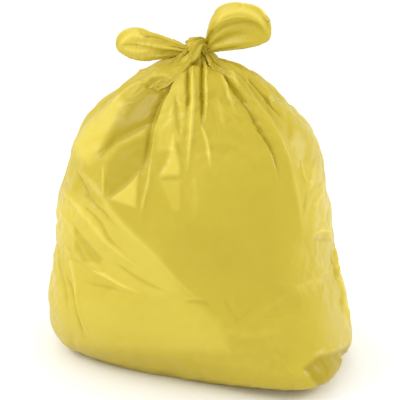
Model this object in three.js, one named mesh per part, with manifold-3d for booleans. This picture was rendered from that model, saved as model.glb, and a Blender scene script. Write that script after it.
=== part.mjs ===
// A filled garbage bag of thin film, tied shut with its own mouth.
// The film is one welded piece, so the bag is one solid: a slumped body that lies flat on the
// ground, a pleated neck, and the two bunches of the mouth, crossed once in a half knot, whose
// ends stand out as two ears.
// Millimetres, +Z up, with the broad front facing -Y. The origin is the middle of the base of
// the bag's box.
import * as THREE from "three";
import { mergeVertices } from "three/addons/utils/BufferGeometryUtils.js";
import Module from "manifold-3d";

// Foot: the flat part of the film that the contents press on the ground.
const FOOT_WIDTH = 380;
const FOOT_DEPTH = 236;
const FOOT_SHIFT = 5; // each shift is of a girth towards +X, to which the contents have slumped

// Hem: where the film turns up from the ground.
const HEM_HEIGHT = 20;
const HEM_WIDTH = 474;
const HEM_DEPTH = 292;
const HEM_SHIFT = 8;

// Belly: the widest girth.
const BELLY_HEIGHT = 80;
const BELLY_WIDTH = 482;
const BELLY_DEPTH = 340;
const BELLY_SHIFT = 1;

// Flank: where the film is close to upright.
const FLANK_HEIGHT = 180;
const FLANK_WIDTH = 457;
const FLANK_DEPTH = 310;
const FLANK_SHIFT = -5;

// Waist: halfway up.
const WAIST_HEIGHT = 250;
const WAIST_WIDTH = 442;
const WAIST_DEPTH = 300;
const WAIST_SHIFT = -7;

// Chest: where the film starts to lean in.
const CHEST_HEIGHT = 310;
const CHEST_WIDTH = 416;
const CHEST_DEPTH = 275;
const CHEST_SHIFT = -4;

// Shoulder: where the film turns in towards the knot.
const SHOULDER_HEIGHT = 375;
const SHOULDER_WIDTH = 370;
const SHOULDER_DEPTH = 230;
const SHOULDER_SHIFT = -1;

// Slope: between the shoulder and the neck.
const SLOPE_HEIGHT = 437;
const SLOPE_WIDTH = 250;
const SLOPE_DEPTH = 172;
const SLOPE_SHIFT = 3;

// Neck: where the film is gathered under the knot.
const NECK_HEIGHT = 486;
const NECK_WIDTH = 60;
const NECK_DEPTH = 46;

// Outline of a girth: 2 is an ellipse, and more is squarer.
const FOOT_SQUARENESS = 3.1;
const NECK_SQUARENESS = 2;

// Corners: the two ends of the bottom weld, pushed out low down, one at the front of the +X end
// and one at the back of the -X end.
const CORNER_PULL = 23;
const CORNER_HEIGHT = 34;
const CORNER_SPREAD = 30; // degrees round the girth
const CORNER_TURN = 34; // degrees from the X axis

// Pleats: the gathers that run down from the neck and fade out over the shoulder, at both ends.
const PLEAT_COUNT = 13;
const PLEAT_DEPTH = 7;

// Folds of the broad faces. A path runs through places on the film, each given as degrees round
// it, from +X towards +Y, and as a share of the way up it. The width is that of one flank. Those
// of the front are given, and the back has the same ones, half a turn round.
const RIDGE_RISE = 7; // the crests between the creases that run down from the neck
const RIDGE_WIDTH = 8;
const RIDGE_PATHS = [
  [[-88, 0.97], [-83, 0.74], [-85, 0.62]],
  [[-64, 0.95], [-76, 0.76], [-75, 0.62]],
  [[-102, 0.96], [-101, 0.79], [-99, 0.69], [-96, 0.59], [-97, 0.5]],
  [[-5, 0.95], [-26, 0.89], [-32, 0.78], [-33, 0.58], [-26, 0.47]],
  [[-150, 0.95], [-143, 0.9], [-148, 0.8], [-156, 0.68]],
];
const CREASE_DEPTH = 9;
const CREASE_WIDTH = 7;
const CREASE_PATHS = [
  [[-108, 0.95], [-104, 0.77], [-101, 0.68], [-99, 0.59], [-100, 0.52]],
  [[-15, 0.95], [-33, 0.89], [-38, 0.78], [-40, 0.58]],
  [[20, 0.94], [2, 0.9], [-13, 0.75]],
  [[-104, 0.75], [-112, 0.71], [-122, 0.67], [-130, 0.62]],
  [[-40, 0.135], [-24, 0.135], [0, 0.1]],
  [[0, 0.4], [-2, 0.22]],
];
const DRAG_RISE = 5; // the long folds that the weight draws across the front from the shoulder
const DRAG_WIDTH = 11;
const DRAG_PATHS = [
  [[-162, 0.56], [-129, 0.54], [-111, 0.5], [-98, 0.44], [-90, 0.39], [-84, 0.33], [-75, 0.3]],
  [[-160, 0.48], [-132, 0.46], [-114, 0.42], [-92, 0.34]],
  [[-160, 0.4], [-132, 0.39], [-114, 0.35], [-98, 0.32]],
  [[-134, 0.34], [-123, 0.26], [-118, 0.14]],
  [[3, 0.39], [7, 0.33], [2, 0.19]],
  [[-37, 0.175], [-24, 0.175], [0, 0.14]],
];

// Bunches: the two halves of the mouth, drawn in along the shoulders. The one from the -X
// shoulder passes over the front of the neck, and the other over its back.
const BUNCH_WIDTH = 50;
const BUNCH_THICKNESS = 34;
const BUNCH_REACH = 78; // out along the shoulder
const BUNCH_SLOPE = 39; // degrees, the fall of the shoulder under it
const BUNCH_NARROWING = 0.55; // of its section, from the shoulder to the knot

// Knot: the lump where the two bunches cross.
const KNOT_WIDTH = 38;
const KNOT_DEPTH = 40;
const KNOT_HEIGHT = 44;

// Ears: the two ends of the mouth.
const EAR_THICKNESS = 20;
const EAR_ROOT_WIDTH = 24;
const EAR_TIP = 0.28; // share of its length over which an ear rounds off
const RIGHT_EAR_LENGTH = 124;
const RIGHT_EAR_WIDTH = 74;
const RIGHT_EAR_RISE = 30; // degrees above level
const LEFT_EAR_LENGTH = 130;
const LEFT_EAR_WIDTH = 46;
const LEFT_EAR_RISE = 2;

// How finely the surfaces are divided.
const BODY_SIDES = 96;
const BODY_RINGS = 44;
const TUBE_SIDES = 14;
const BUNCH_RINGS = 8;
const EAR_RINGS = 12;
const KNOT_SIDES = 14;

const FILM_COLOUR = 0xd8c548;
const FRONT = new THREE.Vector3(0, -1, 0);
const { degToRad, lerp, smoothstep } = THREE.MathUtils;

// One closed surface through rings of points, which all run the same way round. Each end is
// closed by a fan from its middle.
function loft(rings) {
  const sides = rings[0].length;
  const points = rings.flat();
  const faces = [];
  for (let r = 0; r + 1 < rings.length; r++) {
    for (let s = 0; s < sides; s++) {
      const a = r * sides + s;
      const b = r * sides + ((s + 1) % sides);
      faces.push(a, b, b + sides, a, b + sides, a + sides);
    }
  }
  const middle = (ring) =>
    ring.reduce((sum, point) => sum.add(point), new THREE.Vector3()).divideScalar(sides);
  const first = points.push(middle(rings[0])) - 1;
  const last = points.push(middle(rings.at(-1))) - 1;
  const top = (rings.length - 1) * sides;
  for (let s = 0; s < sides; s++) {
    const next = (s + 1) % sides;
    faces.push(first, next, s, last, top + s, top + next);
  }
  return new THREE.BufferGeometry().setFromPoints(points).setIndex(faces);
}

// The girths from the ground up, as one smooth curve each for their half sizes and their shifts.
const girths = [
  { width: FOOT_WIDTH, depth: FOOT_DEPTH, height: 0, shift: FOOT_SHIFT },
  { width: HEM_WIDTH, depth: HEM_DEPTH, height: HEM_HEIGHT, shift: HEM_SHIFT },
  { width: BELLY_WIDTH, depth: BELLY_DEPTH, height: BELLY_HEIGHT, shift: BELLY_SHIFT },
  { width: FLANK_WIDTH, depth: FLANK_DEPTH, height: FLANK_HEIGHT, shift: FLANK_SHIFT },
  { width: WAIST_WIDTH, depth: WAIST_DEPTH, height: WAIST_HEIGHT, shift: WAIST_SHIFT },
  { width: CHEST_WIDTH, depth: CHEST_DEPTH, height: CHEST_HEIGHT, shift: CHEST_SHIFT },
  { width: SHOULDER_WIDTH, depth: SHOULDER_DEPTH, height: SHOULDER_HEIGHT, shift: SHOULDER_SHIFT },
  { width: SLOPE_WIDTH, depth: SLOPE_DEPTH, height: SLOPE_HEIGHT, shift: SLOPE_SHIFT },
  { width: NECK_WIDTH, depth: NECK_DEPTH, height: NECK_HEIGHT, shift: 0 },
];
const sizes = new THREE.CatmullRomCurve3(
  girths.map((g) => new THREE.Vector3(g.width / 2, g.depth / 2, g.height)),
);
const shifts = new THREE.CatmullRomCurve3(
  girths.map((g) => new THREE.Vector3(g.shift, 0, g.height)),
);

// How far a point of the girth at this angle and height is pushed out by a corner of the weld.
function cornerPush(angle, height) {
  const spread = degToRad(CORNER_SPREAD);
  const turn = degToRad(CORNER_TURN);
  const low = Math.exp(-(((height - CORNER_HEIGHT) / CORNER_HEIGHT) ** 2));
  const away = Math.asin(Math.sin(angle + turn)); // from either corner, which are half a turn apart
  return CORNER_PULL * low * Math.exp(-((away / spread) ** 2));
}

// How far the pleats push it out: not at all on the broad faces, which have folds of their own.
function pleatPush(angle, height) {
  const gathered = smoothstep(height, WAIST_HEIGHT, SLOPE_HEIGHT);
  const atEnds = smoothstep(Math.abs(Math.cos(angle)), 0.4, 0.9);
  return (PLEAT_DEPTH / 2) * gathered * atEnds * Math.cos(PLEAT_COUNT * angle);
}

// A point of the film at an angle and a share of the way up, with what it is pushed out by:
// squarish low down and an ellipse at the neck.
function filmPoint(angle, up, pushAt) {
  const along = sizes.getUtoTmapping(up);
  const girth = sizes.getPoint(along);
  const shift = shifts.getPoint(along).x;
  const squareness = lerp(FOOT_SQUARENESS, NECK_SQUARENESS, girth.z / NECK_HEIGHT);
  const rounded = (value) => Math.sign(value) * Math.abs(value) ** (2 / squareness);
  const level = smoothstep(girth.z, 0, HEM_HEIGHT); // the foot keeps its own outline
  const out = level * pushAt(girth.z);
  const x = (girth.x + out) * rounded(Math.cos(angle)) + shift;
  const y = (girth.y + out) * rounded(Math.sin(angle));
  return new THREE.Vector3(x, y, girth.z);
}

const plainPoint = (angle, up) => filmPoint(angle, up, (height) => cornerPush(angle, height));

// The folds that follow the paths, as lines on the plain film, on the front and on the back.
function foldsAlong(paths, rise, width) {
  return [0, 180].flatMap((halfTurn) =>
    paths.map((path) => {
      const places = path.map(([turn, up]) => plainPoint(degToRad(turn + halfTurn), up));
      const lines = places.slice(1).map((place, i) => new THREE.Line3(places[i], place));
      return { lines, rise, width };
    }),
  );
}

const folds = [
  ...foldsAlong(RIDGE_PATHS, RIDGE_RISE, RIDGE_WIDTH),
  ...foldsAlong(CREASE_PATHS, -CREASE_DEPTH, CREASE_WIDTH),
  ...foldsAlong(DRAG_PATHS, DRAG_RISE, DRAG_WIDTH),
];

// How far the folds push a point of the plain film out, or in where it is negative.
function foldPush(point) {
  const near = new THREE.Vector3();
  let push = 0;
  for (const { lines, rise, width } of folds) {
    const gaps = lines.map((line) => line.closestPointToPoint(point, true, near).distanceTo(point));
    push += rise * Math.exp(-((Math.min(...gaps) / width) ** 2));
  }
  return push;
}

function body() {
  const rings = [];
  for (let r = 0; r <= BODY_RINGS; r++) {
    const up = r / BODY_RINGS;
    const ring = [];
    for (let s = 0; s < BODY_SIDES; s++) {
      const angle = (2 * Math.PI * s) / BODY_SIDES;
      const fold = foldPush(plainPoint(angle, up));
      const pushAt = (height) => cornerPush(angle, height) + pleatPush(angle, height) + fold;
      ring.push(filmPoint(angle, up, pushAt));
    }
    rings.push(ring);
  }
  return loft(rings);
}

// A flattened tube along a curve: widthAt and thicknessAt give its section from 0 to 1 along
// the curve, and its broad side looks to the front.
function flatTube(curve, widthAt, thicknessAt, steps) {
  const rings = [];
  for (let i = 0; i <= steps; i++) {
    const along = i / steps;
    const centre = curve.getPointAt(along);
    const tangent = curve.getTangentAt(along);
    const across = new THREE.Vector3().crossVectors(FRONT, tangent).normalize();
    const out = new THREE.Vector3().crossVectors(tangent, across);
    const ring = [];
    for (let s = 0; s < TUBE_SIDES; s++) {
      const angle = (2 * Math.PI * s) / TUBE_SIDES;
      const point = centre.clone();
      point.addScaledVector(across, (widthAt(along) / 2) * Math.cos(angle));
      point.addScaledVector(out, (thicknessAt(along) / 2) * Math.sin(angle));
      ring.push(point);
    }
    rings.push(ring);
  }
  return loft(rings);
}

// The bunch from the shoulder on one side, 1 for +X, which passes the neck on the face given,
// -1 for the front, and rises into the knot past its middle.
function bunch(side, face) {
  const neckSide = NECK_WIDTH / 2;
  const neckFace = (face * NECK_DEPTH) / 2;
  const fall = BUNCH_REACH * Math.tan(degToRad(BUNCH_SLOPE));
  const curve = new THREE.CatmullRomCurve3([
    new THREE.Vector3(side * (neckSide + BUNCH_REACH), neckFace, NECK_HEIGHT - fall),
    new THREE.Vector3(side * (neckSide + BUNCH_REACH / 3), neckFace, NECK_HEIGHT - fall / 3),
    new THREE.Vector3((side * neckSide) / 2, neckFace, NECK_HEIGHT),
    new THREE.Vector3((-side * KNOT_WIDTH) / 6, neckFace / 2, NECK_HEIGHT + KNOT_HEIGHT / 2),
  ]);
  const narrowing = (full) => (along) => full * lerp(1, BUNCH_NARROWING, along);
  return flatTube(curve, narrowing(BUNCH_WIDTH), narrowing(BUNCH_THICKNESS), BUNCH_RINGS);
}

const knotCentre = new THREE.Vector3(0, 0, NECK_HEIGHT + KNOT_HEIGHT / 4);

function knot() {
  return new THREE.SphereGeometry(0.5, KNOT_SIDES, KNOT_SIDES / 2)
    .rotateX(Math.PI / 2)
    .scale(KNOT_WIDTH, KNOT_DEPTH, KNOT_HEIGHT)
    .translate(...knotCentre);
}

// An ear: narrow in the knot, widest past its middle and round at its tip. side is 1 for +X.
function ear(side, length, width, riseDegrees) {
  const rise = degToRad(riseDegrees);
  const away = new THREE.Vector3(side * Math.cos(rise), 0, Math.sin(rise));
  const tip = knotCentre.clone().addScaledVector(away, length);
  const crown = knotCentre.clone().lerp(tip, 0.5);
  crown.z += length / 24;
  const curve = new THREE.QuadraticBezierCurve3(knotCentre, crown, tip);
  const round = (along) => {
    const inTip = Math.max(0, (along - 1 + EAR_TIP) / EAR_TIP);
    return Math.sqrt(Math.max(0.02, 1 - inTip ** 2));
  };
  const widthAt = (along) =>
    lerp(EAR_ROOT_WIDTH, width, smoothstep(along, 0, 1 - EAR_TIP)) * round(along);
  const thicknessAt = (along) => EAR_THICKNESS * round(along);
  return flatTube(curve, widthAt, thicknessAt, EAR_RINGS);
}

const wasm = await Module();
wasm.setup();

function solid(geometry) {
  geometry.deleteAttribute("normal");
  geometry.deleteAttribute("uv");
  const merged = mergeVertices(geometry, 1e-3);
  const vertProperties = merged.attributes.position.array;
  const triVerts = new Uint32Array(merged.index.array);
  return new wasm.Manifold(new wasm.Mesh({ numProp: 3, vertProperties, triVerts }));
}

function geometryOf(manifold) {
  const mesh = manifold.getMesh();
  const geometry = new THREE.BufferGeometry();
  geometry.setAttribute("position", new THREE.BufferAttribute(mesh.vertProperties, 3));
  geometry.setIndex(new THREE.BufferAttribute(mesh.triVerts, 1));
  return geometry;
}

const film = [
  body(),
  bunch(-1, -1),
  bunch(1, 1),
  knot(),
  ear(1, RIGHT_EAR_LENGTH, RIGHT_EAR_WIDTH, RIGHT_EAR_RISE),
  ear(-1, LEFT_EAR_LENGTH, LEFT_EAR_WIDTH, LEFT_EAR_RISE),
]
  .map(solid)
  .reduce((whole, piece) => whole.add(piece));

const bag = new THREE.Mesh(
  geometryOf(film),
  new THREE.MeshStandardMaterial({ color: FILM_COLOUR, roughness: 0.4, metalness: 0 }),
);
bag.name = "bag";
bag.geometry.computeBoundingBox();
const centre = bag.geometry.boundingBox.getCenter(new THREE.Vector3());
bag.geometry.translate(-centre.x, -centre.y, 0);

const garbageBag = new THREE.Group();
garbageBag.add(bag);

export default garbageBag;
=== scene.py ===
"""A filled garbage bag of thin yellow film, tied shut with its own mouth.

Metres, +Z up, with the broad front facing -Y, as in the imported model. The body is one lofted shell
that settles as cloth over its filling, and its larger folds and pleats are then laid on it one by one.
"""

import math
from collections import namedtuple

import bmesh
import bpy
import numpy as np
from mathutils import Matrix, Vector
from mathutils.bvhtree import BVHTree

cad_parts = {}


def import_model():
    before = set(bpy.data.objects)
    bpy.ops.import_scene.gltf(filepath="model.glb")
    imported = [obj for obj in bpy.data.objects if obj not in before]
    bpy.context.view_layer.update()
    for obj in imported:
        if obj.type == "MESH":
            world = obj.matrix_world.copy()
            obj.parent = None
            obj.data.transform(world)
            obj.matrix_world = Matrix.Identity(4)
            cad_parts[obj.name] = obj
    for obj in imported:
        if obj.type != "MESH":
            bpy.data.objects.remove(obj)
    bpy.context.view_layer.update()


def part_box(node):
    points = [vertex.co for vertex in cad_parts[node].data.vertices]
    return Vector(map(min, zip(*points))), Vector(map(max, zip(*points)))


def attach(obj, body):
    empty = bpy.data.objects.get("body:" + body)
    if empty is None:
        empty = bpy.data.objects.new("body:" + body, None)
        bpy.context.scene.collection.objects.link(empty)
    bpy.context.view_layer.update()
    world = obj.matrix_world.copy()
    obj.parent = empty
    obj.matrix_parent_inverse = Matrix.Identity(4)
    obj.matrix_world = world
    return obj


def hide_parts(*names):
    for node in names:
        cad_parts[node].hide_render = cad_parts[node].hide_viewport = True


MM = 0.001

# The photograph's frame, and the camera that gives the bag's outline in it.
FRAME_PIXELS = 400
CAMERA_TURN = math.radians(21)
CAMERA_RISE = math.radians(19)
CAMERA_DISTANCE = 2.2
CAMERA_AIM_HEIGHT = 0.258
CAMERA_SIDE_SHIFT = -0.0012
FRAME_WIDTH_AT_BAG = 0.636
SENSOR_MM = 36

# Girths of the body, from the ground up, in millimetres: whole width and depth, height, shift along X.
Girth = namedtuple("Girth", "width depth height shift")
GIRTHS = [
    Girth(380, 236, 0, 5),
    Girth(474, 292, 20, 8),
    Girth(482, 340, 80, 1),
    Girth(457, 310, 180, -5),
    Girth(442, 300, 250, -7),
    Girth(416, 275, 310, -4),
    Girth(370, 230, 375, -1),
    Girth(244, 172, 437, 3),
    Girth(150, 112, 470, 6),
    Girth(62, 48, 486, 0),
]
NECK_HEIGHT = GIRTHS[-1].height * MM
KNOT_CORE_HEIGHT = 20 * MM  # the gathered film that stands on inside the knot
KNOT_CORE_NARROWING = 0.4
FOOT_SQUARENESS = 3.1
NECK_SQUARENESS = 2.0
CORNER_PULL = 23 * MM
CORNER_HEIGHT = 34 * MM
CORNER_SPREAD = math.radians(30)
CORNER_TURN = math.radians(34)

# How finely the body is divided, before one round of subdivision.
BODY_SIDES = 240
BODY_RINGS = 170
FRONT_CROWDING = 0.3  # how much closer its sides stand at the front, which the camera sees
POLE_EDGES = 8  # a vertex with more edges than this is an end of a piece
FRONT_ANGLE = CAMERA_TURN - math.pi / 2
FOOT_SHARE = 0.1  # of the rings, which lie flat on the ground
NECK_SHARE = 0.96  # the rings past this are inside the knot
NECK_MARGIN = 0.01  # of the rings below the knot, which it holds as well

rng = np.random.default_rng(11)


def smoothstep(value, low, high):
    share = np.clip((value - low) / (high - low), 0, 1)
    return share * share * (3 - 2 * share)


def curve_through(values, knots, at):
    """A smooth curve through the values at the knots, read at the places asked for."""
    values = np.asarray(values, float)
    steps = np.diff(knots)
    slopes = np.diff(values, axis=0) / steps[:, None]
    middle = (slopes[:-1] * steps[1:, None] + slopes[1:] * steps[:-1, None]) / (
        steps[:-1] + steps[1:]
    )[:, None]
    tangents = np.vstack([slopes[:1], middle, slopes[-1:]])
    span = np.clip(np.searchsorted(knots, at, side="right") - 1, 0, len(steps) - 1)
    width = steps[span][:, None]
    s = ((at - np.asarray(knots)[span]) / steps[span])[:, None]
    return (
        values[span] * (1 + 2 * s) * (1 - s) ** 2
        + tangents[span] * width * s * (1 - s) ** 2
        + values[span + 1] * s * s * (3 - 2 * s)
        + tangents[span + 1] * width * s * s * (s - 1)
    )


# Camera


def camera_axes():
    """Right, up and backward of the camera."""
    sin_turn, cos_turn = math.sin(CAMERA_TURN), math.cos(CAMERA_TURN)
    sin_rise, cos_rise = math.sin(CAMERA_RISE), math.cos(CAMERA_RISE)
    right = Vector((cos_turn, sin_turn, 0))
    back = Vector((sin_turn * cos_rise, -cos_turn * cos_rise, sin_rise))
    return right, back.cross(right), back


def camera_place():
    right, _, back = camera_axes()
    aim = Vector((0, 0, CAMERA_AIM_HEIGHT)) + right * CAMERA_SIDE_SHIFT
    return aim + back * CAMERA_DISTANCE


def make_camera():
    data = bpy.data.cameras.new("camera")
    data.sensor_width = SENSOR_MM
    data.lens = SENSOR_MM * CAMERA_DISTANCE / FRAME_WIDTH_AT_BAG
    camera = bpy.data.objects.new("camera", data)
    camera.location = camera_place()
    _, _, back = camera_axes()
    camera.rotation_euler = back.to_track_quat("Z", "Y").to_euler()
    bpy.context.scene.collection.objects.link(camera)
    bpy.context.scene.camera = camera


def in_frame(points):
    """The pixels of the photograph's frame that points fall on."""
    right, up, back = (np.array(axis) for axis in camera_axes())
    apart = points - np.array(camera_place())
    scale = CAMERA_DISTANCE / -(apart @ back) * FRAME_PIXELS / FRAME_WIDTH_AT_BAG
    middle = FRAME_PIXELS / 2
    return np.stack([middle + apart @ right * scale, middle - apart @ up * scale], axis=1)


def sight_line(pixel):
    """The direction from the camera through a pixel of the photograph's frame."""
    right, up, back = camera_axes()
    across = (pixel[0] / FRAME_PIXELS - 0.5) * FRAME_WIDTH_AT_BAG
    above = (0.5 - pixel[1] / FRAME_PIXELS) * FRAME_WIDTH_AT_BAG
    return (right * across + up * above - back * CAMERA_DISTANCE).normalized()


# Body


def girth_curve(along):
    """Half width, half depth, height and shift of the body, from 0 at the foot to 1 at the neck."""
    table = np.array([(g.width / 2, g.depth / 2, g.height, g.shift) for g in GIRTHS]) * MM
    lengths = np.linalg.norm(np.diff(table[:, :3], axis=0), axis=1)
    knots = np.concatenate([[0], np.cumsum(lengths)])
    return curve_through(table, knots / knots[-1], along).T


def corner_push(angle, height):
    low = np.exp(-(((height - CORNER_HEIGHT) / CORNER_HEIGHT) ** 2))
    away = np.arcsin(np.sin(angle + CORNER_TURN))
    level = smoothstep(height, 0, GIRTHS[1].height * MM)
    return CORNER_PULL * low * level * np.exp(-((away / CORNER_SPREAD) ** 2))


def body_points(angle, share):
    """Points of the plain body at each angle, and at each share of the way from the middle of the
    base, 0, to the middle of the neck, 1."""
    along = np.clip((share - FOOT_SHARE) / (NECK_SHARE - FOOT_SHARE), 0, 1)
    half_width, half_depth, height, shift = girth_curve(along)
    in_knot = np.clip((share - NECK_SHARE) / (1 - NECK_SHARE), 0, 1)
    squareness = FOOT_SQUARENESS + (NECK_SQUARENESS - FOOT_SQUARENESS) * height / NECK_HEIGHT
    out = corner_push(angle, height)
    inside = np.clip(share / FOOT_SHARE, 0, 1)

    def rounded(value):
        return np.sign(value) * np.abs(value) ** (2 / squareness)

    x = (half_width + out) * inside * rounded(np.cos(angle)) + shift
    y = (half_depth + out) * inside * rounded(np.sin(angle))
    narrowing = 1 - (1 - KNOT_CORE_NARROWING) * smoothstep(in_knot, 0, 1)
    narrowing *= np.sqrt(1 - np.clip(in_knot * 4 - 3, 0, 1) ** 2)  # rounds off its end
    return np.stack([x * narrowing, y * narrowing, height + in_knot * KNOT_CORE_HEIGHT], axis=1)


def new_piece(name):
    piece = bpy.context.active_object
    piece.name = name
    piece.data.name = name
    return piece


def points_of(piece):
    points = np.zeros(len(piece.data.vertices) * 3, np.float32)
    piece.data.vertices.foreach_get("co", points)
    return points.reshape(-1, 3).astype(float)


def normals_of(piece):
    normals = np.zeros(len(piece.data.vertices) * 3, np.float32)
    piece.data.vertices.foreach_get("normal", normals)
    return normals.reshape(-1, 3).astype(float)


def move_points(piece, points):
    piece.data.vertices.foreach_set("co", points.astype(np.float32).ravel())
    piece.data.update()


def surface_of(piece):
    """The piece as a surface that rays can be cast at."""
    return BVHTree.FromObject(piece, bpy.context.evaluated_depsgraph_get())


# Folds, laid out in the photograph's frame. A fold's path is a few pixels along its crest, height is
# how far it stands out of the film, width is that of one flank, both in millimetres, and the last
# number is how much lighter the film is painted there: painted highlight along a raised crest, and
# painted shade in a groove. A ridge is alike on both sides, and a groove is a ridge that goes in.
# A lip falls off sharply on its left, looking down along it.
Fold = namedtuple("Fold", "kind path height width tone")
RIDGE = "ridge"
LIP = "lip"

PLEATS = [
    Fold(RIDGE, [(193, 68), (193, 95), (191, 130), (189, 152), (188, 168)], 4.5, 3.4, 0.95),
    Fold(RIDGE, [(188, 70), (188, 90), (187, 112)], -5, 2.6, -0.6),
    Fold(RIDGE, [(206, 56), (206, 90), (206, 122)], 4, 2.0, 0.85),
    Fold(RIDGE, [(202, 56), (202, 90), (202, 124)], -6, 2.8, -0.75),
    Fold(RIDGE, [(202, 126), (207, 142), (211, 167)], 3.5, 2.4, 0.95),
    Fold(LIP, [(183, 72), (170, 92), (158, 120), (152, 150), (149, 180), (141, 211)], 6, 9, 0.35),
    Fold(RIDGE, [(178, 76), (165, 92), (154, 116), (148, 145), (144, 170)], -4, 5, -0.55),
    Fold(RIDGE, [(151, 164), (148, 186), (142, 211)], 2.5, 2.2, 0.8),
    Fold(RIDGE, [(176, 98), (178, 118), (180, 138)], -3, 3.5, -0.25),
    Fold(RIDGE, [(217, 68), (228, 92), (235, 111)], 3.5, 2.8, 0.6),
    Fold(RIDGE, [(217, 96), (221, 111), (224, 129)], 2, 3.5, 0.25),
    Fold(RIDGE, [(230, 70), (234, 78), (239, 88)], 2.5, 3, 0.6),
    Fold(
        RIDGE,
        [(212, 63), (224, 77), (236, 92), (246, 106), (263, 135), (271, 148), (278, 176)],
        -5,
        3.8,
        -0.6,
    ),
    Fold(RIDGE, [(244, 84), (262, 108), (277, 134), (287, 158), (294, 190), (300, 226)], 3.5, 7, 0.15),
    Fold(RIDGE, [(248, 78), (265, 97), (280, 116)], -4, 3.2, -0.6),
    Fold(RIDGE, [(254, 76), (270, 92), (290, 112)], 2.5, 4, 0.15),
    Fold(RIDGE, [(145, 83), (132, 86), (120, 96), (108, 108)], 2.5, 3, 0.5),
    Fold(RIDGE, [(153, 121), (133, 131), (114, 141), (98, 155)], -3, 7, -0.3),
    Fold(RIDGE, [(196, 178), (197, 200), (196, 222)], 1.2, 7, 0.1),
]
DRAGS = [
    Fold(
        RIDGE,
        [(81, 172), (95, 187), (107, 201), (120, 218), (137, 236), (156, 255), (180, 282), (200, 300)],
        3.5,
        5,
        0.35,
    ),
    Fold(RIDGE, [(77, 170), (84, 187), (93, 201), (104, 211), (118, 226)], -3, 3.5, -0.45),
    Fold(RIDGE, [(63, 190), (80, 208), (100, 232), (120, 252), (140, 268)], 3, 4.5, 0.35),
    Fold(RIDGE, [(85, 205), (101, 222), (112, 240), (124, 250)], -2.5, 3, -0.4),
    Fold(RIDGE, [(60, 210), (72, 228), (82, 246), (96, 266), (112, 280)], 2.5, 4, 0.2),
    Fold(RIDGE, [(92, 270), (108, 277), (124, 286), (140, 292)], 2.5, 2.4, 0.75),
    Fold(RIDGE, [(90, 284), (106, 287), (122, 291)], -1.6, 3, -0.3),
    Fold(RIDGE, [(118, 264), (132, 274), (150, 284), (168, 292)], -1.8, 2.8, -0.35),
    Fold(RIDGE, [(104, 166), (105, 182), (105, 197)], 2.5, 2.2, 0.7),
    Fold(RIDGE, [(61, 236), (70, 260), (76, 280), (78, 304), (88, 334)], 3, 3.2, 0.4),
    Fold(RIDGE, [(68, 276), (76, 300), (80, 322), (84, 338)], -2.5, 3, -0.4),
    Fold(RIDGE, [(54, 240), (58, 262), (66, 290), (70, 312)], -2.5, 4, -0.25),
    Fold(RIDGE, [(186, 302), (200, 302), (214, 306)], -1.2, 2.2, -0.3),
    Fold(RIDGE, [(186, 298), (198, 298), (210, 299)], 1, 1.8, 0.2),
    Fold(RIDGE, [(226, 300), (232, 312), (240, 322)], -1, 3, -0.15),
    Fold(RIDGE, [(252, 308), (242, 318), (234, 324)], -0.9, 2.6, -0.15),
    Fold(RIDGE, [(264, 317), (274, 317), (284, 315)], -0.8, 2.4, -0.12),
    Fold(RIDGE, [(262, 312), (290, 294), (318, 278), (332, 262)], 2, 7, 0.12),
    Fold(RIDGE, [(222, 330), (250, 336), (280, 330)], 1.5, 7, 0.1),
]
RIGHT_FOLDS = [
    Fold(RIDGE, [(299, 160), (301, 172), (306, 184)], 2, 3, 0.3),
    Fold(RIDGE, [(316, 162), (312, 178), (306, 196)], 2.4, 3.5, 0.4),
    Fold(RIDGE, [(310, 186), (304, 200), (302, 214)], -2, 3.5, -0.2),
    Fold(RIDGE, [(326, 186), (318, 200), (312, 216)], 2, 4, 0.25),
    Fold(RIDGE, [(324, 214), (328, 228), (332, 240)], 2, 4, 0.3),
    Fold(RIDGE, [(312, 234), (321, 231), (332, 232)], 2.5, 2.6, 0.55),
    Fold(RIDGE, [(312, 240), (322, 239), (331, 240)], -2, 2.2, -0.3),
    Fold(RIDGE, [(331, 246), (336, 268), (340, 292), (342, 318)], -4, 3, -0.3),
    Fold(RIDGE, [(337, 246), (343, 262), (347, 290), (350, 326)], 6, 6, 0.45),
    Fold(RIDGE, [(306, 366), (316, 357), (330, 351), (346, 347)], 3, 3.5, 0.15),
]
FOLDS = PLEATS + DRAGS + RIGHT_FOLDS
BACK_FOLDS = PLEATS + DRAGS
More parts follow.
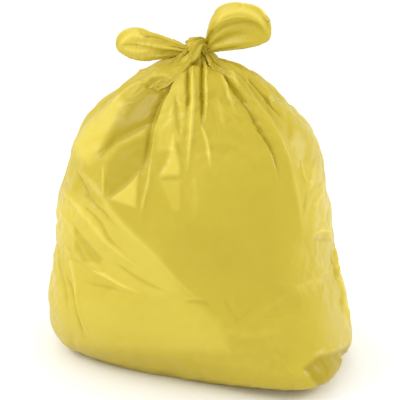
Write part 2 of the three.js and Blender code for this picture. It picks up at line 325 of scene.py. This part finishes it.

# Facets: stretches of film with an outline of their own in the photograph's frame. The number after
# the outline is how much lighter one is painted: painted highlight where it faces the lamps, painted
# shade where it turns from them or lies in under the bag. Rise is how far one stands out, and edge is
# how many pixels its rim takes to fall off.
Facet = namedtuple("Facet", "outline tone rise edge")
FACETS = [
    Facet(
        [(120, 96), (125, 106), (112, 128), (97, 153), (90, 164), (77, 156), (74, 144), (92, 119)],
        0.5,
        2,
        6,
    ),
    # painted shade on the left shoulder
    Facet(
        [(146, 86), (169, 90), (158, 118), (152, 122), (114, 141), (100, 155), (119, 116), (127, 103)],
        -1.0,
        -3,
        5,
    ),
    Facet(
        [
            (150, 134), (152, 145), (142, 172), (125, 187),
            (109, 199), (104, 184), (108, 164), (119, 148),
        ],
        -0.6,
        -2,
        4,
    ),
    # painted highlights on the triangular facets at the ends of the pleats
    Facet([(139, 173), (137, 208), (109, 199), (125, 188)], 0.6, 3, 2.4),
    Facet([(174, 134), (181, 168), (180, 175), (160, 177), (169, 160)], 0.6, 3, 2.4),
    Facet([(161, 181), (181, 181), (180, 211), (173, 211)], 0.25, 1, 2.4),
    Facet(
        [(184, 75), (187, 95), (186, 120), (181, 140), (170, 150), (158, 152), (158, 125), (168, 96)],
        0.34,
        1,
        3,
    ),
    # painted shadow under the front bunch
    Facet([(152, 79), (162, 77), (172, 79), (169, 91), (157, 90), (146, 86)], -0.75, -5, 2),
    # painted shade under the front right corner
    Facet(
        [(304, 369), (316, 358), (334, 353), (352, 346), (352, 366), (334, 380), (318, 388)],
        -1.2,
        -4,
        3.5,
    ),
    Facet(
        [
            (62, 188), (82, 194), (107, 205), (156, 258), (181, 290),
            (160, 298), (118, 284), (90, 268), (62, 240),
        ],
        0.14,
        1.5,
        4,
    ),
    # painted light on the lower left front, where the key lamp falls
    Facet(
        [
            (52, 200), (107, 205), (156, 258), (181, 290), (218, 320),
            (230, 352), (150, 352), (60, 344), (44, 290),
        ],
        0.22,
        0,
        6,
    ),
    Facet([(76, 228), (89, 243), (103, 259), (100, 264), (84, 262), (76, 250)], -0.4, -2, 2.2),
    Facet(
        [(84, 300), (150, 297), (182, 304), (216, 322), (230, 336), (228, 352), (150, 352), (92, 344)],
        0.05,
        1,
        8,
    ),
    Facet([(160, 232), (190, 226), (240, 232), (250, 262), (216, 276), (180, 276)], -0.12, -1, 10),
    Facet([(292, 160), (322, 168), (334, 232), (302, 232), (294, 198)], 0.12, 1, 6),
    # painted highlight along the rim fold at the right
    Facet(
        [(335, 246), (342, 261), (347, 285), (351, 318), (346, 328), (342, 300), (338, 272)],
        0.2,
        0,
        3,
    ),
    Facet([(270, 290), (300, 290), (300, 312), (270, 314)], -0.12, -1, 5),
    # painted shadow under the front bottom edge
    Facet(
        [(64, 349), (110, 356), (200, 363), (262, 374), (300, 386), (296, 394), (160, 388), (100, 372)],
        -0.12,
        -2,
        5,
    ),
]

# Where the film is drawn smooth over the filling, in the photograph's frame.
Patch = namedtuple("Patch", "centre half_width half_height")
CALM = [
    Patch((235, 235), 75, 85),
    Patch((140, 328), 85, 26),
    Patch((290, 330), 55, 40),
    Patch((122, 145), 30, 50),
]
# Gathers: how many run round the body, how deep, and the heights between which they grow, in millimetres.
PLEAT_WAVES = [(13, 3.5, 250, 437), (29, 1.4, 400, 460)]
AT_ENDS = (0.4, 0.9)  # how far along X, as a share, the gathers begin and are full
LIP_SHARPNESS = 1.4  # millimetres over which a lip falls off on its steep side
PATH_STEP = 3 * MM  # between the points of a fold's path
FOLD_REACH = 3  # of its own widths, past which a fold is not felt
FOLD_TIP_WIDTH = 0.55  # of its full width, at its two ends
RIDGE_POWER = 1.6  # higher is flatter on top
FOLD_START = (-0.1, 0.15)  # the shares of the way along between which a fold rises
FOLD_END = (0.75, 1.1)  # and between which it dies away
FACING = (-0.1, 0.2)  # how far the film faces the camera where facets begin, and where they are full
GROUND_FADE = 12 * MM  # the height up to which folds grow from the ground


def path_on(surface, pixels):
    """The pixels' points on the surface, joined by a smooth curve of closely set points."""
    camera = camera_place()
    found = []
    for pixel in pixels:
        sight = sight_line(pixel)
        hit = surface.ray_cast(camera, sight)[0]
        found.append(hit or surface.find_nearest(camera + sight * CAMERA_DISTANCE)[0])
    found = np.array(found)
    lengths = np.linalg.norm(np.diff(found, axis=0), axis=1)
    knots = np.concatenate([[0], np.cumsum(lengths)])
    return curve_through(found, knots, np.linspace(0, knots[-1], int(knots[-1] / PATH_STEP) + 2))


def lay_fold(points, normals, push, tone, path, fold):
    """Adds one fold to how far each point is pushed out of the film, and to its painted shading."""
    reach = FOLD_REACH * fold.width * MM
    near = np.all((points > path.min(0) - reach) & (points < path.max(0) + reach), axis=1)
    near = np.flatnonzero(near)
    if not len(near):
        return
    apart = points[near, None, :] - path[None, :, :]
    distance = np.linalg.norm(apart, axis=2)
    closest = distance.argmin(axis=1)
    offset = apart[np.arange(len(near)), closest]
    tangent = np.gradient(path, axis=0)[closest]
    tangent /= np.linalg.norm(tangent, axis=1)[:, None]
    side = np.einsum("ij,ij->i", np.cross(normals[near], tangent), offset)
    beyond = np.einsum("ij,ij->i", tangent, offset)
    share = np.clip(closest / (len(path) - 1), 0, 1)
    width = fold.width * MM * (FOLD_TIP_WIDTH + (1 - FOLD_TIP_WIDTH) * np.sin(math.pi * share))
    if fold.kind == RIDGE:
        profile = np.exp(-((np.abs(side) / width) ** RIDGE_POWER))
    else:
        step = LIP_SHARPNESS * MM
        profile = smoothstep(side, -step, step) * np.exp(-np.maximum(side, 0) / width)
    profile *= np.exp(-((np.abs(beyond) / (2 * width)) ** 2))
    profile *= smoothstep(share, *FOLD_START) * (1 - smoothstep(share, *FOLD_END))
    push[near] += fold.height * MM * profile
    # painted highlight along a raised crest, painted shade in a groove
    tone[near] += fold.tone * profile


def inside_outline(pixels, outline, edge):
    """1 inside the outline and 0 outside it, with a soft rim."""
    corners = np.array(outline, float)
    inside = np.zeros(len(pixels), bool)
    gap = np.full(len(pixels), np.inf)
    for start, end in zip(corners, np.roll(corners, -1, axis=0)):
        along = end - start
        share = np.clip((pixels - start) @ along / (along @ along), 0, 1)
        gap = np.minimum(gap, np.linalg.norm(pixels - start - share[:, None] * along, axis=1))
        between = (start[1] > pixels[:, 1]) != (end[1] > pixels[:, 1])
        rise = along[1] if along[1] else 1e-9
        inside ^= between & (pixels[:, 0] < start[0] + (pixels[:, 1] - start[1]) * along[0] / rise)
    return smoothstep(np.where(inside, gap, -gap), -edge, edge)


def lay_face(points, normals, push, tone, paths, half_turn):
    """Lays the folds and facets on the front, or half a turn round on the back, which has the same."""
    turn = np.array([-1, -1, 1]) if half_turn else np.ones(3)
    seen, facing = points * turn, normals * turn
    _, _, back = (np.array(axis) for axis in camera_axes())
    for fold, path in zip(BACK_FOLDS if half_turn else FOLDS, paths):
        lay_fold(seen, facing, push, tone, path, fold)
    near = np.flatnonzero(facing @ back > FACING[0])
    pixels = in_frame(seen[near])
    front = smoothstep(facing[near] @ back, *FACING)
    for facet in FACETS:
        share = inside_outline(pixels, facet.outline, facet.edge) * front
        # each facet's painted highlight or shade, and its rise
        push[near] += facet.rise * MM * share
        tone[near] += facet.tone * share


def calm_share(points):
    """1 where the film is drawn smooth over the filling, on the front and on the back."""
    calm = np.zeros(len(points))
    for turn in (1, -1):
        pixels = in_frame(points * np.array([turn, turn, 1]))
        for patch in CALM:
            along = (pixels[:, 0] - patch.centre[0]) / patch.half_width
            above = (pixels[:, 1] - patch.centre[1]) / patch.half_height
            calm = np.maximum(calm, np.exp(-((along**2 + above**2) ** 2)))
    return calm


def pleat_push(angle, height):
    """The gathers that run down from the neck at both ends: fewer and deeper further down. The broad
    faces have folds of their own."""
    push = np.zeros_like(angle)
    at_ends = smoothstep(np.abs(np.cos(angle)), *AT_ENDS)
    for count, depth, low, high in PLEAT_WAVES:
        phase = rng.uniform(0, 2 * math.pi, 3)
        wander = 0.25 * np.sin(2 * angle + phase[1]) + 0.15 * np.sin(3 * angle + phase[2])
        wave = np.cos(count * (angle + 0.1 * wander) + phase[0])
        push += depth * MM * wave * smoothstep(height, low * MM, high * MM)
    return push * at_ends


def body_shell():
    bpy.ops.mesh.primitive_uv_sphere_add(segments=BODY_SIDES, ring_count=BODY_RINGS, radius=1)
    body = new_piece("film_body")
    start = points_of(body)
    angle = np.arctan2(start[:, 1], start[:, 0])
    angle += FRONT_CROWDING * np.sin(FRONT_ANGLE - angle)
    share = 1 - np.arccos(np.clip(start[:, 2], -1, 1)) / math.pi
    points = body_points(angle, share)
    low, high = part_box("bag")
    centre = (points.min(0) + points.max(0)) / 2
    points[:, 0] += (low.x + high.x) / 2 - centre[0]
    points[:, 1] += (low.y + high.y) / 2 - centre[1]
    move_points(body, points)

    push = pleat_push(angle, points[:, 2])
    move_points(body, points + normals_of(body) * push[:, None])
    bpy.ops.object.shade_smooth()
    return body, share


def lay_body_folds(body, plain):
    """Lays the folds and facets on the settled film, and keeps each point's painted shading on the mesh.
    """
    paths = [path_on(plain, fold.path) for fold in FOLDS]
    points, normals = points_of(body), normals_of(body)
    push, tone = np.zeros(len(points)), np.zeros(len(points))
    for half_turn in (False, True):
        lay_face(points, normals, push, tone, paths, half_turn)
    push *= smoothstep(points[:, 2], 0, GROUND_FADE)
    points += normals * push[:, None]
    points[:, 2] = np.maximum(points[:, 2], 0)
    move_points(body, points)
    keep_painted_shading(body, tone)


def keep_painted_shading(piece, tone):
    # the painted shading, lighter above 0 and darker below, kept as a point attribute for the colour
    attribute = piece.data.attributes.new("tone", "FLOAT", "POINT")
    attribute.data.foreach_set("value", np.clip(tone, -1, 1).astype(np.float32))


def weigh(piece, name, weights):
    group = piece.vertex_groups.new(name=name)
    levels = np.round(weights, 2)
    for level in np.unique(levels):
        group.add(np.flatnonzero(levels == level).tolist(), float(level), "REPLACE")


# The film as cloth, in the names of the cloth settings.
FILM_CLOTH = {
    "quality": 6,
    "mass": 0.1,
    "tension_stiffness": 25,
    "compression_stiffness": 25,
    "shear_stiffness": 10,
    "bending_stiffness": 0.05,
    "tension_damping": 5,
    "bending_damping": 0.2,
    "pin_stiffness": 1.0,
    "shrink_max": 0,
    "use_pressure": True,
}
# How tightly each piece keeps its shape, how many frames it settles for, how much longer its film is
# than that shape, as a share, and the pressure inside.
Settling = namedtuple("Settling", "hold frames slack pressure")
BODY_SETTLING = Settling(0.1, 14, 0.022, 0.3)
EAR_SETTLING = Settling(0.15, 10, 0.012, 0.4)
BUNCH_SETTLING = Settling(0.12, 10, 0.018, 0.4)


def settle_as_cloth(piece, settling, fixed, calm=None):
    """Lets the film buckle over its filling. Points that are fixed stay where they are, and where it
    is calm the film has less slack."""
    weigh(piece, "hold", np.where(fixed, 1.0, settling.hold))
    cloth = piece.modifiers.new("cloth", "CLOTH")
    settings = cloth.settings
    for name, value in FILM_CLOTH.items():
        setattr(settings, name, value)
    settings.vertex_group_mass = "hold"
    settings.shrink_min = -settling.slack
    if calm is not None:
        weigh(piece, "calm", calm)
        settings.vertex_group_shrink = "calm"
    settings.uniform_pressure_force = settling.pressure
    settings.effector_weights.gravity = 0
    cloth.collision_settings.use_collision = False
    cloth.point_cache.frame_start = 1
    cloth.point_cache.frame_end = settling.frames
    for frame in range(1, settling.frames + 1):
        bpy.context.scene.frame_set(frame)
    bpy.context.view_layer.objects.active = piece
    bpy.ops.object.modifier_apply(modifier=cloth.name)


# Bunches, knot and ears


def plane_point(pixel, y):
    """Where the sight line through a pixel crosses the upright plane at that Y."""
    camera, sight = camera_place(), sight_line(pixel)
    return np.array(camera + sight * ((y - camera.y) / sight.y))


def edge_curve(points, share):
    points = np.array(points)
    lengths = np.linalg.norm(np.diff(points, axis=0), axis=1)
    knots = np.concatenate([[0], np.cumsum(lengths)])
    return curve_through(points, knots / knots[-1], share)


def film_loft(name, upper, lower, front, thickness, bend, sides, rings):
    """A closed piece between two edges, which meet at its tip. thickness and bend take the share
    along it and the place across it, from -1 at the lower edge to 1 at the upper, and give how thick
    it is and how far it stands out to the front."""
    bpy.ops.mesh.primitive_uv_sphere_add(segments=sides, ring_count=rings, radius=1)
    piece = new_piece(name)
    start = points_of(piece)
    turn = np.arctan2(start[:, 1], start[:, 0])
    share = 1 - np.arccos(np.clip(start[:, 2], -1, 1)) / math.pi
    top, bottom = edge_curve(upper, share), edge_curve(lower, share)
    closed = np.sin(math.pi * np.clip(share, 0, 1)) ** ROOT_BLUNTNESS
    closed[share > 0.5] = 1
    across = np.cos(turn)
    middle, half = (top + bottom) / 2, (top - bottom) / 2 * closed[:, None]
    ends = np.sin(math.pi * share) ** END_ROUNDNESS
    out = thickness(share, across) / 2 * np.sin(turn) * ends + bend(share, across)
    forward = curve_through(np.array(front, float), np.linspace(0, 1, len(front)), share)
    forward /= np.linalg.norm(forward, axis=1)[:, None]
    move_points(piece, middle + half * across[:, None] + forward * out[:, None])
    bpy.ops.object.mode_set(mode="EDIT")
    bpy.ops.mesh.select_all(action="SELECT")
    bpy.ops.mesh.normals_make_consistent(inside=False)
    bpy.ops.object.mode_set(mode="OBJECT")
    bpy.ops.object.shade_smooth()
    return piece, share


ROOT_BLUNTNESS = 0.35  # of a loft's root: lower is blunter
END_ROUNDNESS = 0.5  # of a loft's thickness at both ends: lower is fuller

KNOT_Y = -4 * MM
# How finely the ears and the bunches are divided, and the shares along them past which each end is
# fixed, or between which their forms begin and are full.
EAR_SIDES = 96
EAR_RINGS = 90
EAR_FIXED = (0.12, 0.95)
EAR_ROOT_SHARE = 0.45  # of an ear's full thickness, at the knot
EAR_OPENS = (0.05, 0.5)
EAR_MIDDLE_SHARE = 0.75  # of its thickness halfway across, and how much more it has at its upper edge
EAR_UPPER_EXTRA = 0.35
EAR_GATHERS = 9
EAR_GATHERS_END = (0.25, 0.8)
EAR_HOLLOWS = (0.1, 0.6)
HOLLOW_CREST = 0.4
GATHER_DEPTH = 1.6 * MM
BUNCH_SIDES = 72
BUNCH_RINGS = 110
BUNCH_FIXED = (0.2, 0.9)
BUNCH_THIN = 8 * MM  # on the shoulder
BUNCH_THICK = 20 * MM  # over the knot
BUNCH_THICKENS = (0.3, 0.75)
BUNCH_GATHERS = 8
BUNCH_GATHERS_GROW = (0.0, 0.4)
BUNCH_FREE = (0.6, 0.9)  # the back one leaves the body for the knot between these shares
RIGHT_EAR_UPPER = [
    (199, 50), (202, 42), (205, 31), (210, 19), (218, 9),
    (230, 4), (246, 4), (260, 9), (269, 21),
]
RIGHT_EAR_LOWER = [
    (200, 54), (208, 55), (222, 53), (236, 50), (249, 47),
    (262, 44), (270, 39), (272, 30), (269, 21),
]
LEFT_EAR_UPPER = [
    (196, 46), (184, 43), (168, 37), (152, 32),
    (138, 28), (126, 30), (118, 37), (116, 45),
]
LEFT_EAR_LOWER = [
    (197, 55), (186, 57), (172, 58), (156, 60),
    (140, 60), (127, 56), (119, 51), (116, 45),
]
# painted highlight along the right ear's rounded upper rim, painted shade in the hollow below it
RIGHT_EAR_FOLDS = [
    Fold(RIDGE, [(216, 26), (222, 17), (232, 12), (246, 11), (259, 17), (268, 30)], 2.5, 8, 1.0),
    Fold(RIDGE, [(214, 34), (224, 27), (236, 24), (248, 23), (258, 26), (266, 34)], -3, 4, -0.55),
    Fold(RIDGE, [(205, 46), (208, 38), (214, 30)], -2, 5, -0.5),
    Fold(RIDGE, [(210, 47), (226, 44), (244, 42), (258, 41)], 1.5, 3.5, 0.2),
    Fold(RIDGE, [(212, 51), (226, 49), (240, 47)], -1.5, 2, -0.5),
    Fold(RIDGE, [(222, 21), (234, 17), (248, 17)], 1.2, 2, 0.3),
    Fold(RIDGE, [(216, 42), (232, 36), (250, 34)], -1.5, 5, -0.25),
]
# painted highlights on the left ear's crests and end, painted shade in its creases
LEFT_EAR_FOLDS = [
    Fold(RIDGE, [(188, 48), (170, 42), (156, 37), (146, 37), (140, 31)], -2.5, 2.6, -0.6),
    Fold(RIDGE, [(186, 50), (168, 48), (148, 45), (132, 43)], 2, 3, 0.2),
    Fold(RIDGE, [(184, 53), (170, 53), (156, 54)], -2, 3, -0.6),
    Fold(RIDGE, [(146, 38), (134, 35), (126, 39), (120, 46)], 1.5, 6, 0.8),
    Fold(RIDGE, [(150, 51), (136, 51), (123, 48)], 1.5, 5, 0.6),
    Fold(RIDGE, [(140, 45), (130, 45), (123, 45)], -1.2, 2, -0.25),
]
# painted highlight on the top of the bunch over the knot, painted shade in its creases
BUNCH_FOLDS = [
    Fold(RIDGE, [(152, 74), (168, 66), (182, 56), (190, 46)], 1.8, 2.6, 0.2),
    Fold(RIDGE, [(156, 80), (172, 72), (186, 62), (195, 50)], -2, 2.6, -0.5),
    Fold(RIDGE, [(184, 50), (190, 44), (196, 39)], 1.5, 3.4, 1.0),
    Fold(RIDGE, [(176, 62), (186, 54), (193, 48)], -1.6, 2.2, -0.35),
]
BUNCH_UPPER = [(124, 94), (140, 81), (154, 71), (167, 62), (177, 54), (185, 47), (190, 40), (196, 38)]
BUNCH_LOWER = [(130, 102), (147, 95), (160, 89), (171, 83), (182, 75), (192, 67), (199, 58), (203, 47)]
# the bunches are painted darker all over: painted shade
BUNCH_PAINTED_SHADE = -0.35
BACK_BUNCH_LIFT = 0.15  # how far the back one stands off the body, as a share of the front one
BACK_BUNCH_TURN = math.radians(288)  # round the knot, from the front bunch
# How far its edges stand off the body, in millimetres. It starts inside the shoulder.
BUNCH_LIFT_UPPER = (-9, -8, -6, -4, -1, 2, 5, 5)
BUNCH_LIFT_LOWER = (-9, -8, -6, -3, 1, 4, 6, 5)
# Its last two places before the far side: the Y of its upper and lower edge, and where it faces.
BUNCH_OVER_KNOT = {
    -2: (-14 * MM, -24 * MM, (0.1, -0.9, 0.3)),
    -1: (-6 * MM, -16 * MM, (0.5, -0.5, 0.7)),
}
# Where it turns down behind the knot: points of its upper and lower edge, in metres.
BUNCH_END = [
    ((0.004, 0.012, 0.507), (0.012, 0.004, 0.497)),
    ((-0.002, 0.014, 0.490), (0.010, 0.012, 0.486)),
]
BUNCH_END_FACING = (0.7, 0.2, 0.7)


def fold_piece(piece, folds, piece_painted_shading):
    """Lays folds on a piece, and keeps each point's painted shading on the mesh."""
    points, normals, surface = points_of(piece), normals_of(piece), surface_of(piece)
    push, tone = np.zeros(len(points)), np.full(len(points), piece_painted_shading)
    for fold in folds:
        lay_fold(points, normals, push, tone, path_on(surface, fold.path), fold)
    move_points(piece, points + normals * push[:, None])
    keep_painted_shading(piece, tone)


# Each ear's name, edges, folds, thickness, hollow, and how much lighter its film is painted all over.
EARS = [
    ("film_ear_right", RIGHT_EAR_UPPER, RIGHT_EAR_LOWER, RIGHT_EAR_FOLDS, 20 * MM, 8 * MM, 0.05),
    ("film_ear_left", LEFT_EAR_UPPER, LEFT_EAR_LOWER, LEFT_EAR_FOLDS, 18 * MM, 3 * MM, 0.2),
]


def ear(name, upper, lower, folds, puff, hollow, tone):
    """One ear between its two edges. It is puff thick, its middle lies back by about hollow, and the
    gathers of the knot die out along it."""
    upper = [plane_point(pixel, KNOT_Y) for pixel in upper]
    lower = [plane_point(pixel, KNOT_Y) for pixel in lower]
    front = [(0, -1, 0), (0, -1, 0)]

    def thickness(share, across):
        opened = EAR_ROOT_SHARE + (1 - EAR_ROOT_SHARE) * smoothstep(share, *EAR_OPENS)
        return puff * opened * (EAR_MIDDLE_SHARE + EAR_UPPER_EXTRA * across)

    def bend(share, across):
        gathers = np.cos(across * EAR_GATHERS) * GATHER_DEPTH
        hollowed = hollow * (across**2 - HOLLOW_CREST) * smoothstep(share, *EAR_HOLLOWS)
        return gathers * (1 - smoothstep(share, *EAR_GATHERS_END)) + hollowed

    piece, share = film_loft(name, upper, lower, front, thickness, bend, EAR_SIDES, EAR_RINGS)
    settle_as_cloth(piece, EAR_SETTLING, (share < EAR_FIXED[0]) | (share > EAR_FIXED[1]))
    finish_film(piece)
    fold_piece(piece, folds, tone)
    return piece


def body_hit(surface, pixel):
    """The body's surface under a pixel, and its normal there. Beside the body it is the nearest
    point on the sight line."""
    camera, sight = camera_place(), sight_line(pixel)
    hit, normal, _, _ = surface.ray_cast(camera, sight)
    if hit is None:
        near, normal, _, _ = surface.find_nearest(camera + sight * CAMERA_DISTANCE)
        hit = camera + sight * (near - camera).dot(sight)
    return np.array(hit), np.array(normal)


def front_bunch(name, surface):
    """The gathered left half of the mouth, which comes up over the front of the neck and turns
    down behind it."""
    upper, lower, front = [], [], []
    lifts = zip(BUNCH_LIFT_UPPER, BUNCH_LIFT_LOWER)
    for high, low, (lift_high, lift_low) in zip(BUNCH_UPPER, BUNCH_LOWER, lifts):
        point_high, normal_high = body_hit(surface, high)
        point_low, normal_low = body_hit(surface, low)
        upper.append(point_high + normal_high * lift_high * MM)
        lower.append(point_low + normal_low * lift_low * MM)
        front.append(normal_high + normal_low)
    for place, (upper_y, lower_y, facing) in BUNCH_OVER_KNOT.items():
        upper[place] = plane_point(BUNCH_UPPER[place], upper_y)
        lower[place] = plane_point(BUNCH_LOWER[place], lower_y)
        front[place] = facing
    for high, low in BUNCH_END:
        upper.append(np.array(high))
        lower.append(np.array(low))
        front.append(BUNCH_END_FACING)

    def thickness(share, across):
        return BUNCH_THIN + (BUNCH_THICK - BUNCH_THIN) * smoothstep(share, *BUNCH_THICKENS)

    def bend(share, across):
        gathers = np.cos(across * BUNCH_GATHERS + 1) * GATHER_DEPTH
        return gathers * smoothstep(share, *BUNCH_GATHERS_GROW)

    return film_loft(name, upper, lower, front, thickness, bend, BUNCH_SIDES, BUNCH_RINGS)


def back_bunch(piece, name, surface, share):
    """A copy of the front bunch, turned round the knot to the far side and laid close to the body."""
    bpy.ops.object.select_all(action="DESELECT")
    piece.select_set(True)
    bpy.context.view_layer.objects.active = piece
    bpy.ops.object.duplicate()
    copy = new_piece(name)
    copy.data = copy.data.copy()
    points = points_of(copy)
    turned = points.copy()
    cos_turn, sin_turn = math.cos(BACK_BUNCH_TURN), math.sin(BACK_BUNCH_TURN)
    turned[:, 0] = points[:, 0] * cos_turn - points[:, 1] * sin_turn
    turned[:, 1] = points[:, 0] * sin_turn + points[:, 1] * cos_turn
    for index, point in enumerate(points):
        near, normal, _, _ = surface.find_nearest(Vector(point))
        lift = (Vector(point) - near).dot(normal)
        near, normal, _, _ = surface.find_nearest(Vector(turned[index]))
        seated = near + normal * lift * BACK_BUNCH_LIFT
        free = float(smoothstep(share[index], *BUNCH_FREE))
        turned[index] = turned[index] * free + np.array(seated) * (1 - free)
    move_points(copy, turned)
    return copy


def settle_bunch(piece, share):
    settle_as_cloth(piece, BUNCH_SETTLING, (share < BUNCH_FIXED[0]) | (share > BUNCH_FIXED[1]))


# Scene


def main():
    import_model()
    bpy.ops.object.select_all(action="DESELECT")
    make_camera()
    film = film_material()
    body, share = body_shell()
    plain = surface_of(body)
    fixed = (share < FOOT_SHARE) | (share > NECK_SHARE - NECK_MARGIN)
    settle_as_cloth(body, BODY_SETTLING, fixed, calm_share(points_of(body)))
    finish_film(body)
    lay_body_folds(body, plain)
    pieces = [body]
    pieces += [ear(*shape) for shape in EARS]
    front, bunch_share = front_bunch("film_bunch_front", plain)
    back = back_bunch(front, "film_bunch_back", plain, bunch_share)
    for piece, folds in ((front, BUNCH_FOLDS), (back, [])):
        settle_bunch(piece, bunch_share)
        finish_film(piece)
        fold_piece(piece, folds, BUNCH_PAINTED_SHADE)
        pieces.append(piece)
    for piece in pieces:
        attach(piece, "root")
        dress(piece, film)
    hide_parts("bag")
    make_studio()


def drop_poles(piece):
    """Opens the two ends, whose fans of long thin faces would subdivide badly."""
    mesh = bmesh.new()
    mesh.from_mesh(piece.data)
    poles = [vert for vert in mesh.verts if len(vert.link_edges) > POLE_EDGES]
    bmesh.ops.delete(mesh, geom=poles, context="VERTS")
    mesh.to_mesh(piece.data)
    mesh.free()


def close_ends(piece):
    mesh = bmesh.new()
    mesh.from_mesh(piece.data)
    rims = [edge for edge in mesh.edges if edge.is_boundary]
    filled = bmesh.ops.holes_fill(mesh, edges=rims, sides=0)
    bmesh.ops.poke(mesh, faces=filled["faces"])
    mesh.to_mesh(piece.data)
    mesh.free()


def finish_film(piece):
    """One round of subdivision, so that the settled film is smooth close up."""
    drop_poles(piece)
    bpy.ops.object.select_all(action="DESELECT")
    piece.select_set(True)
    bpy.context.view_layer.objects.active = piece
    smooth = piece.modifiers.new("smooth", "SUBSURF")
    smooth.levels = smooth.render_levels = 1
    bpy.ops.object.modifier_apply(modifier=smooth.name)
    close_ends(piece)
    bpy.ops.object.shade_smooth()


def dress(piece, material):
    piece.data.materials.clear()
    piece.data.materials.append(material)


class Value:
    """A shader socket that arithmetic can be written with."""

    def __init__(self, tree, socket):
        self.tree, self.socket = tree, socket

    def combine(self, operation, first, second):
        return add_node(self.tree, "ShaderNodeMath", {"operation": operation}, {0: first, 1: second})

    def __add__(self, other):
        return self.combine("ADD", self, other)

    __radd__ = __add__

    def __sub__(self, other):
        return self.combine("SUBTRACT", self, other)

    def __rsub__(self, other):
        return self.combine("SUBTRACT", other, self)

    def __mul__(self, other):
        return self.combine("MULTIPLY", self, other)

    __rmul__ = __mul__


def set_stops(ramp, stops):
    while len(ramp.elements) < len(stops):
        ramp.elements.new(0.5)
    for element, (position, colour) in zip(ramp.elements, stops):
        element.position = position
        element.color = colour


def add_node(tree, kind, settings, values, output=0):
    """A node with its settings, and a value or a link on each of the sockets named."""
    node = tree.nodes.new(kind)
    for name, setting in settings.items():
        if name == "stops":
            set_stops(node.color_ramp, setting)
        else:
            setattr(node, name, setting)
    for name, value in values.items():
        if isinstance(value, Value):
            tree.links.new(value.socket, node.inputs[name])
        else:
            node.inputs[name].default_value = value
    return Value(tree, node.outputs[output])


# The film's colours: painted shade at the dark end, the plain film, and painted highlight at the light
# end.
FILM_PAINTED_SHADE = (0.37, 0.275, 0.004, 1)
FILM_PLAIN = (0.498, 0.387, 0.026, 1)
FILM_PAINTED_HIGHLIGHT = (0.75, 0.61, 0.09, 1)
CLOUD_SCALE = 9.0
STREAK_SCALE = 60.0
CRINKLE_SCALE = 24.0
GRAIN_SCALE = 300.0
CLOUD_TONE = 0.16  # how far the soft patches and the streaks vary the film's tone
STREAK_TONE = 0.08
CRINKLE_SHARE = 0.9  # of the fine relief, and the rest is grain
BUMP_STRENGTH = 0.12
BUMP_DEPTH = 1.0 * MM
FILM_ROUGHNESS = 0.29
FILM_IOR = 1.46
FILM_SPECULAR = 0.35


def film_material():
    material = bpy.data.materials.new("yellow_film")
    material.use_nodes = True
    tree = material.node_tree
    shader = tree.nodes["Principled BSDF"]
    place = add_node(tree, "ShaderNodeTexCoord", {}, {}, "Object")

    def noise(scale, detail):
        values = {"Vector": place, "Scale": scale, "Detail": detail}
        return add_node(tree, "ShaderNodeTexNoise", {}, values)

    tone = add_node(tree, "ShaderNodeAttribute", {"attribute_name": "tone"}, {}, "Fac")
    cloud = noise(CLOUD_SCALE, 2.0)
    streak = noise(STREAK_SCALE, 3.0)
    # the painted shading on the mesh moves the colour along the ramp, and the cloudy and streaky noise
    # adds random mottling
    light = 0.5 + 0.5 * tone + CLOUD_TONE * (cloud - 0.5) + STREAK_TONE * (streak - 0.5)
    stops = [(0, FILM_PAINTED_SHADE), (0.5, FILM_PLAIN), (1, FILM_PAINTED_HIGHLIGHT)]
    colour = add_node(tree, "ShaderNodeValToRGB", {"stops": stops}, {"Fac": light})
    crinkle = add_node(
        tree,
        "ShaderNodeTexNoise",
        {"noise_type": "RIDGED_MULTIFRACTAL"},
        {"Vector": place, "Scale": CRINKLE_SCALE, "Detail": 2.0, "Roughness": 0.5},
    )
    grain = noise(GRAIN_SCALE, 2.0)
    relief = CRINKLE_SHARE * crinkle + (1 - CRINKLE_SHARE) * grain
    values = {"Height": relief, "Strength": BUMP_STRENGTH, "Distance": BUMP_DEPTH}
    bump = add_node(tree, "ShaderNodeBump", {}, values)
    roughness = FILM_ROUGHNESS + 0.08 * streak + 0.04 * grain
    tree.links.new(colour.socket, shader.inputs["Base Color"])
    tree.links.new(roughness.socket, shader.inputs["Roughness"])
    tree.links.new(bump.socket, shader.inputs["Normal"])
    shader.inputs["IOR"].default_value = FILM_IOR
    shader.inputs["Specular IOR Level"].default_value = FILM_SPECULAR
    return material


FLOOR_SIZE = 12
FLOOR_WHITE = 0.96
LIGHT_AIM = (0, 0, 0.3)


def make_studio():
    bpy.ops.mesh.primitive_plane_add(size=FLOOR_SIZE, location=(0, 0, 0))
    floor = new_piece("studio_floor")
    material = bpy.data.materials.new("studio_floor")
    material.use_nodes = True
    shader = material.node_tree.nodes["Principled BSDF"]
    shader.inputs["Base Color"].default_value = (FLOOR_WHITE, FLOOR_WHITE, FLOOR_WHITE, 1)
    shader.inputs["Roughness"].default_value = 0.9
    dress(floor, material)
    world = bpy.data.worlds.new("studio")
    world.use_nodes = True
    world.node_tree.nodes["Background"].inputs["Color"].default_value = (1, 1, 1, 1)
    world.node_tree.nodes["Background"].inputs["Strength"].default_value = 1.0
    bpy.context.scene.world = world
    bpy.context.scene.view_settings.view_transform = "Standard"
    add_softbox("key", (-1.6, -1.2, 2.0), 1.4, 28)
    add_softbox("rim", (1.8, 0.6, 1.2), 0.8, 15)


def add_softbox(name, place, size, power):
    data = bpy.data.lights.new(name, "AREA")
    data.size = size
    data.energy = power
    light = bpy.data.objects.new(name, data)
    light.location = place
    toward = Vector(LIGHT_AIM) - Vector(place)
    light.rotation_euler = toward.to_track_quat("-Z", "Y").to_euler()
    bpy.context.scene.collection.objects.link(light)


main()
